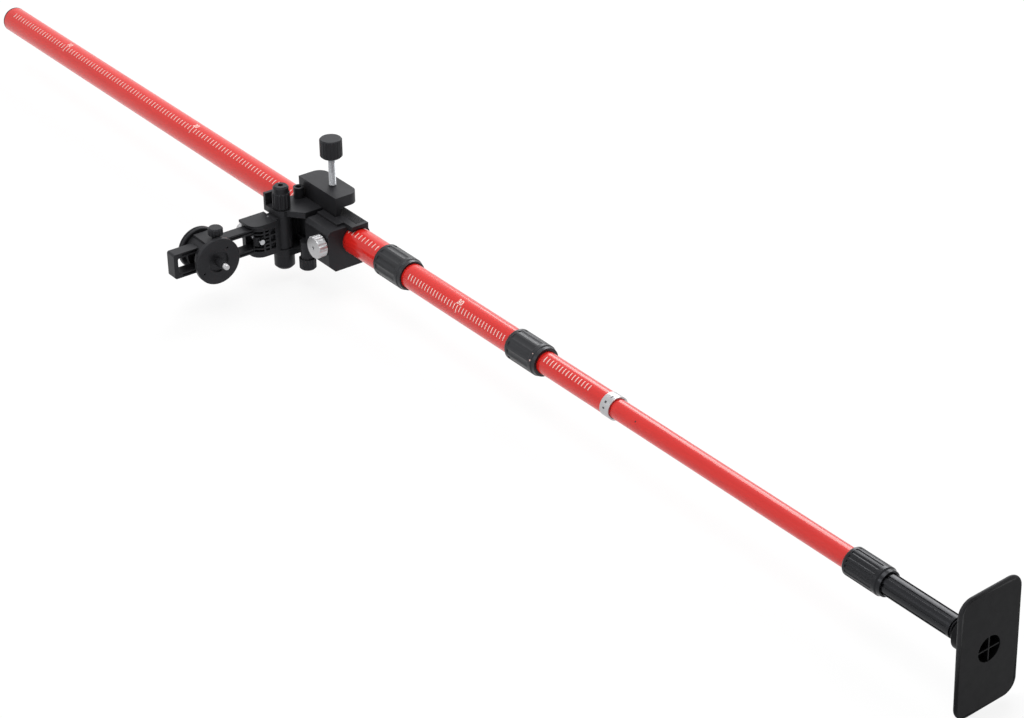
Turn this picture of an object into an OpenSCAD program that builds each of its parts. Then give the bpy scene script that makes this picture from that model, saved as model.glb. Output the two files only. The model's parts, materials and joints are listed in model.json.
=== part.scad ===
// Telescopic range pole with a sliding instrument bracket, millimetres.
// +X runs along the pole from its base to the ceiling plate, +Z is up, -Y is the bracket's arm side.

/* [Tubes] */
// Outside diameter of the base tube
base_tube_d = 32; // [28:0.5:36]
// Drop in diameter from one drawn tube to the next
tube_step = 4; // [3.6:0.1:5]
// Drop in diameter from the third tube to the spring tube
spring_tube_step = 3; // [2.9:0.1:4]
// Wall of all the tubes
tube_wall = 0.9; // [0.7:0.05:0.95]
// Length of the base tube
base_tube_len = 866; // [850:1:900]
// Length of the second tube
second_tube_len = 870; // [700:1:900]
// How far the third tube's inner end is set inside the second tube's inner end
third_set_in = 135; // [90:1:300]
// How far the second tube stands out of the base tube
second_out = 231; // [150:1:500]
// How far the third tube stands out of the second tube
third_out = 135; // [90:1:500]
// How far the spring tube stands out of the third tube
spring_out = 350; // [200:1:450]
// How far the tip rod stands out of the spring tube
rod_out = 104.5; // [90:0.5:140]
// Length of the tip rod
rod_len = 190; // [170:1:220]
// Diameter of the tip rod outside its lock
rod_head_d = 21.4; // [19.5:0.1:22]
// Wall of the moulded tip rod
rod_wall = 2.4; // [2:0.1:3]
// Number of grooves along the tip rod
rod_grooves = 8; // [4:1:12]
// Width of a groove along the tip rod
rod_groove_w = 3; // [1.5:0.1:3.5]
// Depth of a groove along the tip rod
rod_groove_deep = 1; // [0.3:0.1:1.2]

/* [Ends and bushes] */
// Thickness of the flange of the base plug
plug_flange = 2; // [1.5:0.1:4]
// Length of the base plug inside the tube
plug_len = 20; // [12:1:30]
// Length of the flange on the bush at a tube's inner end
bush_flange = 6; // [4:0.5:10]
// Length of a bush inside its tube
bush_len = 14; // [10:1:20]
// Wall of the bushes
bush_wall = 2; // [1.5:0.1:3]
// Length of the guide sleeve in the mouth of the third tube
guide_len = 80; // [50:1:110]
// Length of the bright ring on the end of the third tube
trim_len = 13; // [8:0.5:20]
// Wall of the bright ring
trim_wall = 0.5; // [0.4:0.05:0.8]
// Thickness of the bright ring's end lip
trim_lip = 2; // [1:0.1:3]

/* [Push spring] */
// Length of the push spring as fitted
spring_len = 200; // [160:1:260]
// Turns of the push spring
spring_turns = 26; // [18:1:32]
// Wire of the push spring
spring_wire = 1.8; // [1.2:0.1:2.2]

/* [Twist locks] */
// Length of the base lock collar
base_collar_len = 48; // [46:1:60]
// Length of the second lock collar
second_collar_len = 48; // [46:1:60]
// Length of the tip lock collar
tip_collar_len = 46; // [44:1:56]
// Thickness of the base lock collar outside its tube
base_collar_wall = 2; // [1.8:0.1:3]
// Thickness of the second lock collar outside its tube
second_collar_wall = 3; // [2:0.1:4]
// Thickness of the tip lock collar outside its tube
tip_collar_wall = 3.8; // [3.6:0.1:5]
// Flutes around a large lock collar
collar_flutes = 12; // [8:1:16]
// Ribs around the tip lock collar
tip_collar_ribs = 18; // [12:1:24]
// Depth of the flutes in the collars
flute_deep = 0.8; // [0.4:0.1:1]
// Length of the threaded part of a lock sleeve
lock_thread = 12; // [8:0.5:13]
// Length of the split nose of a lock sleeve
lock_nose = 9; // [6:0.5:9.5]
// Length of a lock sleeve inside its tube
lock_spigot = 22; // [14:1:26]
// Width of the slits in a lock sleeve
lock_slit = 1.2; // [0.8:0.1:2]

/* [Ceiling plate] */
// Width of the ceiling plate across the pole
plate_w = 73; // [60:1:90]
// Height of the ceiling plate
plate_h = 126; // [110:1:150]
// Turn of the ceiling plate about the pole as it rests
plate_turn = 3; // [-45:0.5:45]
// Thickness of the ceiling plate inside its rim
plate_t = 4; // [3:0.1:4.4]
// Corner radius of the ceiling plate
plate_corner = 15; // [8:0.5:18]
// Radius of the rounded rim of the ceiling plate
rim_r = 2.1; // [1.6:0.1:2.2]
// Diameter of the ball behind the plate
ball_d = 24; // [22:0.5:25]
// Wall of the socket around the ball
socket_wall = 3.2; // [2.8:0.1:4]
// Distance from the plate's face to the ball's centre
ball_back = 23; // [22:0.5:26]
// Diameter of the ball's neck
neck_d = 9; // [8:0.5:10]
// Diameter of the hole in the middle of the plate
hole_d = 26; // [22:0.5:27]
// Depth of the hole in the middle of the plate
hole_deep = 8; // [6:0.5:9]
// Thickness of the cross in the plate's hole
cross_t = 1.3; // [1:0.1:2]

/* [Bracket] */
// Bare length of the base tube between the bracket and the base lock collar
bracket_free = 59; // [45:1:350]
// Length of the bracket's housing
clamp_len = 89; // [85:1:100]
// Reach of the housing on the arm side of the pole's axis
clamp_front = 35; // [33:0.5:40]
// Reach of the housing on the far side of the pole's axis
clamp_back = 19.5; // [19:0.5:24]
// Reach of the housing below the pole's axis
clamp_below = 31; // [29:0.5:36]
// Reach of the housing's hub on the arm side of the pole's axis
hub_reach = 24; // [22:0.5:26]
// Wall of the housing above the liner
clamp_roof = 1.4; // [1.2:0.1:3]
// Wall of the liner in the housing
liner_wall = 0.8; // [0.6:0.1:1.2]
// Length of the thick clamping block at the plate end of the housing
block_len = 45; // [40:1:48]
// Chamfer on the lower edges of the housing
clamp_chamfer = 8; // [4:0.5:10]
// Thickness of the web behind the knuckle
web_t = 5; // [3:0.5:6]
// Width of the step in front of the C clamp
step_w = 8.4; // [5:0.1:9]
// Height of the step in front of the C clamp
step_h = 3; // [2:0.1:4]
// Thickness of the jaw plate
jaw_t = 3; // [2.4:0.1:4]
// Overhang of the jaw plate past the housing
jaw_over = 10; // [6:0.5:12]
// Reach of the jaw plate on the far side of the pole's axis
jaw_reach = 11; // [8:0.5:12]
// Ribs along the jaw plate
jaw_ribs = 6; // [4:1:8]

/* [C clamp] */
// Length of the C clamp along the pole
c_len = 73; // [60:1:78]
// Distance of the C clamp's wall from the pole's axis on the arm side
c_set = 9; // [8:0.5:11]
// Depth of the C clamp's arm across the pole
c_reach = 31; // [28:0.5:34]
// Thickness of the C clamp's arm
c_arm_t = 13; // [12:0.5:20]
// Thickness of the C clamp's wall
c_wall_t = 6; // [5:0.5:8]
// Gap between the C clamp's arm and the jaw plate
throat = 8.5; // [8:0.5:14]
// Corner radius of the C clamp's arm
c_corner = 12; // [8:0.5:14]
// Diameter of the clamp screw
screw_d = 8; // [6:0.5:10]
// Bare length of the clamp screw above the arm
screw_show = 33; // [24:1:44]
// Diameter of the clamp screw's knob
jaw_knob_d = 25; // [20:0.5:30]
// Height of the clamp screw's knob
jaw_knob_h = 22; // [16:0.5:28]
// Diameter of the clamp screw's pad
jaw_pad_d = 12; // [10.5:0.5:13]
// Thickness of the clamp screw's pad
jaw_pad_t = 2; // [1.5:0.1:2.5]

/* [Pole lock] */
// Diameter of the bright pole lock knob
lock_knob_d = 25.5; // [20:0.5:28]
// Length of the bright pole lock knob
lock_knob_len = 11; // [8:0.5:16]
// Scallops around the bright knobs
knob_lobes = 12; // [8:1:16]
// Distance of the pole lock from the plate end of the housing
lock_in = 11; // [11:0.5:18]
// Diameter of the pole lock screw
lock_screw_d = 8; // [6:0.5:10]
// Diameter of the pole lock's shoe
shoe_d = 16; // [13:0.5:17]
// Thickness of the pole lock's shoe
shoe_t = 4; // [3:0.1:4.5]

/* [Swing joint] */
// Place of the swing axis along the housing
swing_in = 13; // [12:0.5:15]
// Distance of the swing axis from the pole's axis
swing_off = 44.5; // [43:0.5:48]
// Radius of the swing joint's knuckle
knuckle_r = 10.5; // [9.5:0.5:11]
// Thickness of the platform that forms the upper lug
lug_t = 7; // [5:0.5:9]
// Thickness of the lower lug
low_lug_t = 8; // [6:0.5:8]
// Height of the swing knuckle between the lugs
knuckle_h = 39; // [38.5:0.5:40]
// Diameter of the swing bolt
swing_bolt_d = 6; // [5:0.5:8]
// Diameter of the swing lock knob
swing_knob_d = 20; // [16:0.5:23]
// Height of the swing lock knob
swing_knob_h = 27; // [18:0.5:32]
// Height of the round foot under the lower lug
foot_h = 17; // [12:0.5:22]
// Diameter of the round foot under the lower lug
foot_d = 23; // [18:0.5:25]
// Diameter of the screws of the two small lock knobs
small_screw_d = 5; // [4:0.5:6]
// Diameter of the small knob under the housing
low_knob_d = 19; // [14:0.5:20]
// Height of the small knob under the housing
low_knob_h = 13; // [8:0.5:15]
// Height of the ear above the platform
ear_h = 14; // [8:0.5:18]
// Outside diameter of the hollow boss on the platform
post_d = 12; // [9:0.5:13]
// Height of the hollow boss on the platform
post_h = 13; // [10:0.5:20]

/* [Arm] */
// Thickness of the slotted arm
arm_t = 14; // [12:0.5:16]
// Height of the slotted arm
arm_h = 29; // [26:0.5:30]
// Length of the slotted arm
arm_len = 126; // [110:1:150]
// Height of the slot in the arm
slot_h = 18; // [16:0.5:19]
// Corner radius of the slot in the arm
slot_corner = 2; // [1:0.5:3]
// Solid length at each end of the slot
slot_end = 5; // [4:0.5:7]
// Radius of the arm's outer corners
arm_corner = 2.5; // [2:0.5:5]
// Drop of the arm's middle below the pole's axis
arm_drop = 5; // [4.5:0.5:6]
// Set-back of the arm's middle from the swing axis
arm_back = 3; // [2:0.5:5]
// Length of the box that holds the arm
box_len = 29; // [28:0.5:32]
// Side wall of the box that holds the arm
box_wall = 7; // [6:0.5:8]
// Roof of the box above the arm
box_roof = 5; // [4:0.1:5.2]
// Radius of the box's front outer corner
box_corner = 12; // [9:0.5:13]
// Width of the bars in the box's cage
cage_bar = 1.6; // [1.2:0.1:2]
// Thickness of the cap over the box
cap_t = 3; // [2:0.1:3.5]
// Reach of the cap past the box's outer end
cap_over = 3; // [1:0.5:4]
// Depth of the stop pin in the box's roof
stop_pin_deep = 3.4; // [2:0.1:3.5]
// Bare height of the stop pin
stop_pin_show = 0.4; // [0.2:0.05:0.45]
// Diameter of the stop pin in the box's roof
stop_pin_d = 2.5; // [2:0.5:3]
// Diameter of the arm lock bolt
arm_bolt_d = 6; // [5:0.5:8]
// Diameter of the bright arm lock knob
arm_knob_d = 18; // [14:0.5:20]
// Length of the bright arm lock knob
arm_knob_len = 12; // [8:0.5:16]

/* [Carriage] */
// Distance of the carriage from the swing axis
carriage_off = 95; // [92:1:105]
// Diameter of the carriage body
carriage_d = 40; // [39:0.5:42]
// Diameter of the instrument disc
disc_d = 53; // [48:0.5:56]
// Diameter of the thumbwheel
wheel_d = 49; // [44:0.5:52]
// Thickness of the instrument disc
disc_t = 6; // [4.5:0.1:7]
// Front wall of the carriage ahead of the arm
carriage_front = 11; // [9:0.5:14]
// Rear wall of the carriage behind the arm
carriage_rear = 6; // [4:0.5:8]
// Thickness of the thumbwheel
wheel_t = 7; // [5:0.5:10]
// Diameter of the raised post on the disc
disc_post_d = 10; // [9:0.5:14]
// Height of the raised post on the disc
disc_post_h = 13; // [8:0.5:16]
// Diameter of the instrument stud
stud_d = 6.35; // [6:0.05:6.4]
// Bare length of the instrument stud
stud_len = 6; // [5:0.5:10]
// Diameter of the carriage lock knob
car_knob_d = 16.5; // [13:0.5:18]
// Height of the carriage lock knob
car_knob_h = 9; // [6:0.5:12]
// Height of the boss under the carriage lock knob
car_boss_h = 5; // [4:0.5:7]

/* [Fits] */
// Gap all round between sliding tubes and their guides
slide_gap = 0.15; // [0.1:0.01:0.2]
// Gap all round between pieces fixed to each other
seat_gap = 0.05; // [0.02:0.01:0.08]
// Gap all round a turning shaft
turn_gap = 0.08; // [0.05:0.01:0.1]
// Free space between pieces that pass each other
free_gap = 0.4; // [0.3:0.05:0.6]

/* [Hidden] */
$fn = 64;
eps = 0.01;
second_tube_d = base_tube_d - tube_step;
third_tube_d = second_tube_d - tube_step;
spring_tube_d = third_tube_d - spring_tube_step;
base_bore = base_tube_d - 2 * tube_wall;
second_bore = second_tube_d - 2 * tube_wall;
third_bore = third_tube_d - 2 * tube_wall;
spring_bore = spring_tube_d - 2 * tube_wall;
rod_d = spring_bore - 2 * slide_gap;
rod_bore = rod_d - 2 * rod_wall;
end_1 = plug_flange + base_tube_len;
end_2 = end_1 + second_out;
end_3 = end_2 + third_out;
end_4 = end_3 + spring_out;
end_5 = end_4 + rod_out;
start_2 = end_1 + second_out - second_tube_len;
start_3 = start_2 + third_set_in;
third_tube_len = end_3 - start_3;
start_4 = end_3 - guide_len - 0.2;
start_5 = end_5 - rod_len;
spring_x1 = start_4 - bush_flange;
spring_x0 = spring_x1 - spring_len;
ball_x = end_5 + ball_d / 2 + 2.5;
plate_x = ball_x + ball_back;
ball_r = ball_d / 2;
cup_r = ball_r + 0.3;
socket_r = cup_r + socket_wall;

liner_r = base_tube_d / 2 + 0.1;
hous_r = liner_r + liner_wall + turn_gap;
roof_z = hous_r + clamp_roof;
clamp_x = end_1 - base_collar_len / 2 - bracket_free - clamp_len;
clamp_x1 = clamp_x + clamp_len;
block_x = clamp_x1 - block_len;
jaw_z = roof_z + jaw_t;
c_x = clamp_x - 6;
c_y = -c_set;
c_x1 = c_x + c_len;
step_y = c_y - 1.3;
c_z0 = jaw_z + throat;
c_z1 = c_z0 + c_arm_t;
screw_x = c_x + c_len / 2 + 4;
screw_y = c_y + c_reach / 2 + 2.5;
pad_z = c_z0 - 0.4 - jaw_pad_t;
lock_x = clamp_x1 - lock_in;
shoe_y = -liner_r - liner_wall - 0.15;
lug_z = roof_z - 3.2;
lug_top = lug_z + lug_t;
swing_x = clamp_x + swing_in;
swing_y = -swing_off;
knuckle_z1 = lug_z - 0.3;
knuckle_z0 = knuckle_z1 - knuckle_h;
low_lug_z = knuckle_z0 - 0.3 - low_lug_t;
low_x = block_x - 3;
low_y = -clamp_front + 3;
low_lug_half = 12;
// Reach of the web between the hub and the knuckle
web_reach = swing_off - knuckle_r - hub_reach - 2 * turn_gap;
arm_x = swing_x - arm_back;
arm_z = -arm_drop;
arm_top = arm_z + arm_h / 2;
arm_base = arm_z - arm_h / 2;
arm_y0 = swing_y - knuckle_r - 3.5;
arm_y1 = arm_y0 - arm_len;
box_y0 = swing_y - knuckle_r - 2.5;
box_y1 = box_y0 - box_len;
box_z1 = arm_top + slide_gap + box_roof;
box_z0 = knuckle_z0;
box_x0 = arm_x - arm_t / 2 - slide_gap - box_wall;
box_x1 = arm_x + arm_t / 2 + slide_gap + box_wall;
bolt_y = box_y1 + 8;
stop_x = swing_x - 4;
stop_y = swing_y - knuckle_r - 5.5;
car_y = swing_y - carriage_off;
car_x0 = arm_x - arm_t / 2 - slide_gap - carriage_rear;
car_x1 = arm_x + arm_t / 2 + slide_gap + carriage_front;
disc_x = car_x1 + 0.3;
wheel_x = car_x0 - free_gap;
shaft_d = stud_d - 0.35;
thumb_x = arm_x + arm_t / 2 + slide_gap + 3.4;
thumb_y = 6;
thumb_z = arm_h / 2 - 8;
jaw_y = jaw_reach;

// Which piece is drawn

red = [0.72, 0.06, 0.05];
black = [0.07, 0.07, 0.075];
grey = [0.16, 0.16, 0.17];
silver = [0.78, 0.78, 0.8];

// Shared shapes

// A round bar along +X
module bar_x(x, d, len) {
    translate([x, 0, 0])
        rotate([0, 90, 0])
            cylinder(h = len, d = d);
}

// A pipe along +X
module pipe_x(x, od, id, len) {
    difference() {
        bar_x(x, od, len);
        bar_x(x - 1, id, len + 2);
    }
}

// A turned piece about the pole's axis, drawn as radius against length
module turned_x(x, points) {
    translate([x, 0, 0])
        rotate([0, 90, 0])
            rotate_extrude()
                polygon(points);
}

// A block with its four upright edges rounded
module round_block(size, r) {
    translate([r, 0, 0])
        cube([size[0] - 2 * r, size[1], size[2]]);
    translate([0, r, 0])
        cube([size[0], size[1] - 2 * r, size[2]]);
    for (x = [r, size[0] - r])
        for (y = [r, size[1] - r])
            translate([x, y, 0])
                cylinder(h = size[2], r = r);
}

// Round grooves along the side of an upright knob
module knob_flutes(d, count, r, deep, h) {
    for (i = [0 : count - 1])
        rotate([0, 0, 360 * i / count])
            translate([d / 2 + r - deep, 0, -1])
                cylinder(h = h + 2, r = r, $fn = 32);
}

// The bush in the inner end of a sliding tube
module end_bush(x, tube_bore, outer_bore) {
    difference() {
        union() {
            bar_x(x - bush_flange, outer_bore - 2 * slide_gap, bush_flange);
            bar_x(x - eps, tube_bore - 2 * seat_gap, bush_len);
        }
        bar_x(x - bush_flange - 1, tube_bore - 2 * bush_wall, bush_flange + bush_len + 2);
    }
}

// Radius of the nose of a lock sleeve at its root and at its tip
function nose_root(od) = od / 2 - 0.9;
function nose_tip(inner) = inner / 2 + 1.1;

// The lock sleeve that is fixed in a tube's mouth and grips the next tube
module lock_sleeve(x, od, bore, inner) {
    difference() {
        union() {
            bar_x(x - lock_spigot, bore - 2 * seat_gap, lock_spigot + eps);
            turned_x(x, [
                [0, 0],
                [od / 2, 0],
                [od / 2, lock_thread],
                [nose_root(od), lock_thread],
                [nose_tip(inner), lock_thread + lock_nose],
                [0, lock_thread + lock_nose]
            ]);
        }
        bar_x(x - lock_spigot - 1, inner + 2 * slide_gap, lock_spigot + lock_thread + lock_nose + 2);
        for (a = [0, 90])
            rotate([a, 0, 0])
                translate([x + lock_thread - 4, -od, -lock_slit / 2])
                    cube([lock_nose + 6, 2 * od, lock_slit]);
    }
}

// The turned inside and outside of a lock collar
module collar_form(x, thread_od, inner, mouth, back, front, r) {
    nose = lock_thread + lock_nose;
    turned_x(x, [
        [thread_od / 2 + free_gap, -back],
        [r - 1, -back],
        [r, -back + 1.6],
        [r, front - 5],
        [r - 1, front - 3.6],
        [r - 1.6, front],
        [mouth / 2 + free_gap, front],
        [mouth / 2 + free_gap, nose + 0.6],
        [nose_tip(inner) + free_gap, nose + 0.6],
        [nose_tip(inner) + free_gap, nose],
        [nose_root(thread_od) + free_gap, lock_thread + free_gap],
        [thread_od / 2 + free_gap, lock_thread + free_gap]
    ]);
}

// Pole

module base_plug() {
    color(black)
        difference() {
            union() {
                bar_x(0, base_tube_d, plug_flange);
                bar_x(plug_flange - eps, base_bore - 2 * seat_gap, plug_len);
            }
            bar_x(plug_flange + 2, base_bore - 6, plug_len);
        }
}

module base_tube() {
    color(red)
        pipe_x(plug_flange, base_tube_d, base_bore, base_tube_len);
}

module base_lock_sleeve() {
    color(black)
        lock_sleeve(end_1, base_tube_d, base_bore, second_tube_d);
}

module large_collar(x, od, inner, len, wall) {
    r = od / 2 + wall;
    back = len / 2;
    fr = 11;
    difference() {
        collar_form(x, od, inner, inner, back, len - back, r);
        for (i = [0 : collar_flutes - 1])
            rotate([360 * i / collar_flutes, 0, 0])
                translate([0, 0, r + fr - flute_deep])
                    bar_x(x - back + 5, 2 * fr, len - 14);
    }
}

module base_lock_collar() {
    color(black)
        large_collar(end_1, base_tube_d, second_tube_d, base_collar_len, base_collar_wall);
}

module second_tube() {
    color(red)
        pipe_x(start_2, second_tube_d, second_bore, second_tube_len);
}

module second_tube_bush() {
    color(grey)
        end_bush(start_2, second_bore, base_bore);
}

module second_lock_sleeve() {
    color(black)
        lock_sleeve(end_2, second_tube_d, second_bore, third_tube_d);
}

module second_lock_collar() {
    color(black)
        large_collar(end_2, second_tube_d, third_tube_d, second_collar_len, second_collar_wall);
}

module third_tube() {
    color(red)
        pipe_x(start_3, third_tube_d, third_bore, third_tube_len);
}

module third_tube_bush() {
    color(grey)
        end_bush(start_3, third_bore, second_bore);
}

module spring_seat() {
    color(grey) {
        bar_x(spring_x0 - 12, third_bore - 2 * seat_gap, 12);
        bar_x(spring_x0 - eps, third_bore - 2 * spring_wire - 5, 14);
    }
}

// One unbroken tube of wire wound about the pole's axis
module push_spring() {
    rings = spring_turns * 8;
    sides = 6;
    wr = spring_wire / 2;
    coil_r = third_bore / 2 - wr - 0.5;
    run = spring_len - 2 * wr - 0.2;
    pitch = run / spring_turns;
    echo(spring_self_gap = pitch - spring_wire);
    points = [
        for (i = [0 : rings])
            for (j = [0 : sides - 1])
                let (t = 360 * i / 8, q = 360 * j / sides, cr = coil_r + wr * cos(q))
                    [spring_x0 + wr + 0.1 + run * i / rings + wr * sin(q), cr * cos(t), cr * sin(t)]
    ];
    walls = [
        for (i = [0 : rings - 1])
            for (j = [0 : sides - 1])
                for (h = [0, 1])
                    let (k = (j + 1) % sides, a = i * sides, b = a + sides)
                        h == 0 ? [a + j, a + k, b + k] : [a + j, b + k, b + j]
    ];
    first = [[for (j = [0 : sides - 1]) sides - 1 - j]];
    last = [[for (j = [0 : sides - 1]) rings * sides + j]];
    color(silver)
        polyhedron(points = points, faces = concat(walls, first, last), convexity = 10);
}

module guide_sleeve() {
    color(grey)
        pipe_x(end_3 - guide_len, third_bore - 2 * seat_gap, spring_tube_d + 2 * slide_gap, guide_len);
}

module trim_ring() {
    ring_d = third_tube_d + 2 * seat_gap + 2 * trim_wall;
    color(silver)
        difference() {
            bar_x(end_3 + trim_lip - trim_len, ring_d, trim_len);
            bar_x(end_3 - trim_len, third_tube_d + 2 * seat_gap, trim_len);
            bar_x(end_3 - 1, spring_tube_d + 2 * free_gap, trim_lip + 2);
        }
}

module spring_tube() {
    color(red)
        pipe_x(start_4, spring_tube_d, spring_bore, end_4 - start_4);
}

module spring_piston() {
    color(grey)
        end_bush(start_4, spring_bore, third_bore);
}

// Outside diameter of the sleeve over the mouth of the spring tube
tip_thread_d = spring_tube_d + 3;
// Where the thick part of the tip rod starts, in the mouth of its collar
head_x = end_4 - 4 + lock_thread + lock_nose + 1.2;

module tip_lock_sleeve() {
    color(black)
        difference() {
            turned_x(end_4, [
                [0, -lock_spigot],
                [tip_thread_d / 2, -lock_spigot],
                [tip_thread_d / 2, lock_thread - 4],
                [nose_root(tip_thread_d), lock_thread - 4],
                [nose_tip(rod_d), lock_thread + lock_nose - 4],
                [0, lock_thread + lock_nose - 4]
            ]);
            bar_x(end_4 - lock_spigot - 1, spring_tube_d + 2 * seat_gap, lock_spigot + 1);
            bar_x(end_4 - 1, rod_d + 2 * slide_gap, lock_thread + lock_nose + 2);
            for (a = [0, 90])
                rotate([a, 0, 0])
                    translate([end_4 + lock_thread - 6, -tip_thread_d, -lock_slit / 2])
                        cube([lock_nose + 6, 2 * tip_thread_d, lock_slit]);
        }
}

module tip_lock_collar() {
    r = spring_tube_d / 2 + tip_collar_wall;
    front = 28;
    back = tip_collar_len - front;
    rr = 1.9;
    color(black)
        difference() {
            collar_form(end_4 - 4, tip_thread_d, rod_d, rod_head_d, back, front, r);
            for (i = [0 : tip_collar_ribs - 1])
                rotate([360 * i / tip_collar_ribs, 0, 0])
                    translate([0, 0, r + rr - flute_deep])
                        bar_x(end_4 - back, 2 * rr, tip_collar_len - 13);
        }
}

module tip_rod() {
    color(black)
        difference() {
            union() {
                bar_x(start_5, rod_d, rod_len);
                bar_x(head_x, rod_head_d, end_5 - head_x);
            }
            bar_x(start_5 - 1, rod_bore, rod_len + 2);
            for (i = [0 : rod_grooves - 1])
                rotate([360 * (i + 0.5) / rod_grooves, 0, 0])
                    translate([head_x + 3, -rod_groove_w / 2, rod_head_d / 2 - rod_groove_deep])
                        cube([end_5 - head_x - 6, rod_groove_w, 3]);
        }
}

module ball_stud() {
    color(black)
        rotate([plate_turn, 0, 0])
            union() {
                translate([ball_x, 0, 0])
                    sphere(r = ball_r);
                bar_x(end_5 - 0.5, neck_d, ball_x - end_5);
                bar_x(end_5 - 18, rod_bore - 2 * turn_gap, 18);
                bar_x(end_5 + 0.2, rod_d - 1, 1.2);
            }
}

// The flat middle of the ceiling plate
module plate_core(x, t) {
    w = plate_w - 2 * rim_r;
    h = plate_h - 2 * rim_r;
    r = plate_corner - rim_r;
    translate([x, w / 2, -h / 2])
        rotate([0, -90, 180])
            round_block([h, w, t], r);
}

// The rounded bead around the ceiling plate
module plate_rim(x) {
    w = plate_w - 2 * rim_r;
    h = plate_h - 2 * rim_r;
    r = plate_corner - rim_r;
    for (s = [-1, 1]) {
        translate([x, s * w / 2, -h / 2 + r])
            cylinder(h = h - 2 * r, r = rim_r);
        translate([x, -w / 2 + r, s * h / 2])
            rotate([-90, 0, 0])
                cylinder(h = w - 2 * r, r = rim_r);
    }
    for (a = [0, 90, 180, 270])
        translate([x, (a == 0 || a == 270 ? 1 : -1) * (w / 2 - r), (a < 180 ? 1 : -1) * (h / 2 - r)])
            rotate([a, 0, 0])
                rotate([90, 0, 90])
                    rotate_extrude(angle = 90)
                        translate([r, 0])
                            circle(r = rim_r, $fn = 32);
}

module ceiling_plate() {
    mid = plate_x - plate_t / 2 - 0.2;
    color(black)
        rotate([plate_turn, 0, 0])
            difference() {
                union() {
                    plate_core(mid - plate_t / 2, plate_t + 0.2);
                    plate_rim(mid);
                    bar_x(ball_x, 2 * socket_r, ball_back - 1);
                }
                translate([ball_x, 0, 0])
                    sphere(r = cup_r);
                difference() {
                    bar_x(plate_x - hole_deep, hole_d, hole_deep + 1);
                    translate([plate_x - hole_deep - 1, -hole_d, -cross_t / 2])
                        cube([hole_deep + 0.4, 2 * hole_d, cross_t]);
                    translate([plate_x - hole_deep - 1, -cross_t / 2, -hole_d])
                        cube([hole_deep + 0.4, cross_t, 2 * hole_d]);
                }
                bar_x(ball_x, ball_r, ball_back - hole_deep + 1);
            }
}

module socket_ring() {
    rear = cup_r * 0.67;
    color(black)
        difference() {
            turned_x(ball_x, [[0, -rear], [socket_r - 2, -rear], [socket_r, -rear + 2], [socket_r, -seat_gap],
                [0, -seat_gap]]);
            translate([ball_x, 0, 0])
                sphere(r = cup_r);
        }
}

// Bracket housing

module clamp_liner() {
    color(grey)
        pipe_x(clamp_x + 0.5, 2 * (liner_r + liner_wall), 2 * liner_r, clamp_len - 1);
}

// A length of the housing with its lower front edge cut off and its far side round
module clamp_section(x, front, top, len, cut) {
    translate([x, 0, 0])
        rotate([90, 0, 90])
            linear_extrude(height = len)
                polygon([
                    [-front + cut / 2, top],
                    [-front, top - cut / 2],
                    [-front, -clamp_below + cut],
                    [-front + cut, -clamp_below],
                    [8, -clamp_below],
                    [15, -clamp_below + 8],
                    [clamp_back - 2, -6],
                    [clamp_back - 2, 6],
                    [12, top]
                ]);
    bar_x(x, 2 * clamp_back, len);
}

module clamp_body() {
    hub_y = -hub_reach;
    color(black)
        difference() {
            union() {
                clamp_section(block_x, clamp_front, roof_z, block_len, clamp_chamfer);
                clamp_section(clamp_x, -hub_y, lug_z, clamp_len - block_len + 1, 5);
                translate([clamp_x, c_y + 0.3, 0])
                    cube([clamp_len - block_len + 1, 12 - c_y, roof_z]);
                translate([swing_x - low_lug_half, swing_y, low_lug_z])
                    cube([2 * low_lug_half, swing_off + hub_y + 8, low_lug_t]);
                translate([swing_x, swing_y, low_lug_z])
                    cylinder(h = low_lug_t, r = low_lug_half);
                translate([block_x, step_y - step_w, roof_z - 1])
                    cube([block_len - 6, step_w, step_h + 1]);
                translate([clamp_x, hub_y - web_reach, low_lug_z + low_lug_t - eps])
                    cube([web_t, web_reach + 1, lug_z - low_lug_z - low_lug_t + eps]);
                translate([low_x, low_y, -clamp_below])
                    cylinder(h = 20, d = low_knob_d - 4);
            }
            bar_x(clamp_x - 1, 2 * hous_r, clamp_len + 2);
            translate([clamp_x - 1, step_y, roof_z])
                cube([clamp_len + 2, 2 * clamp_back + 4, clamp_back]);
            translate([clamp_x - 1, -clamp_front - 2, lug_z])
                cube([block_x - clamp_x - 2.7, clamp_front + 2 + c_y, clamp_back]);
            translate([swing_x, swing_y, low_lug_z - 1])
                cylinder(h = low_lug_t + 2, d = swing_bolt_d + 2 * turn_gap);
            translate([lock_x, -hous_r + 2, 0])
                rotate([90, 0, 0])
                    cylinder(h = clamp_front, d = lock_screw_d + 2 * turn_gap);
            translate([lock_x, -hous_r + 3, 0])
                rotate([90, 0, 0])
                    cylinder(h = shoe_t + 7, d = shoe_d + 1);
            translate([low_x, low_y, -clamp_below - 1])
                cylinder(h = 17, d = small_screw_d + 2 * turn_gap);
            translate([clamp_x + 7, hub_y - 1, -18])
                cube([block_x - clamp_x - 11, 5, 26]);
        }
}

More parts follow.
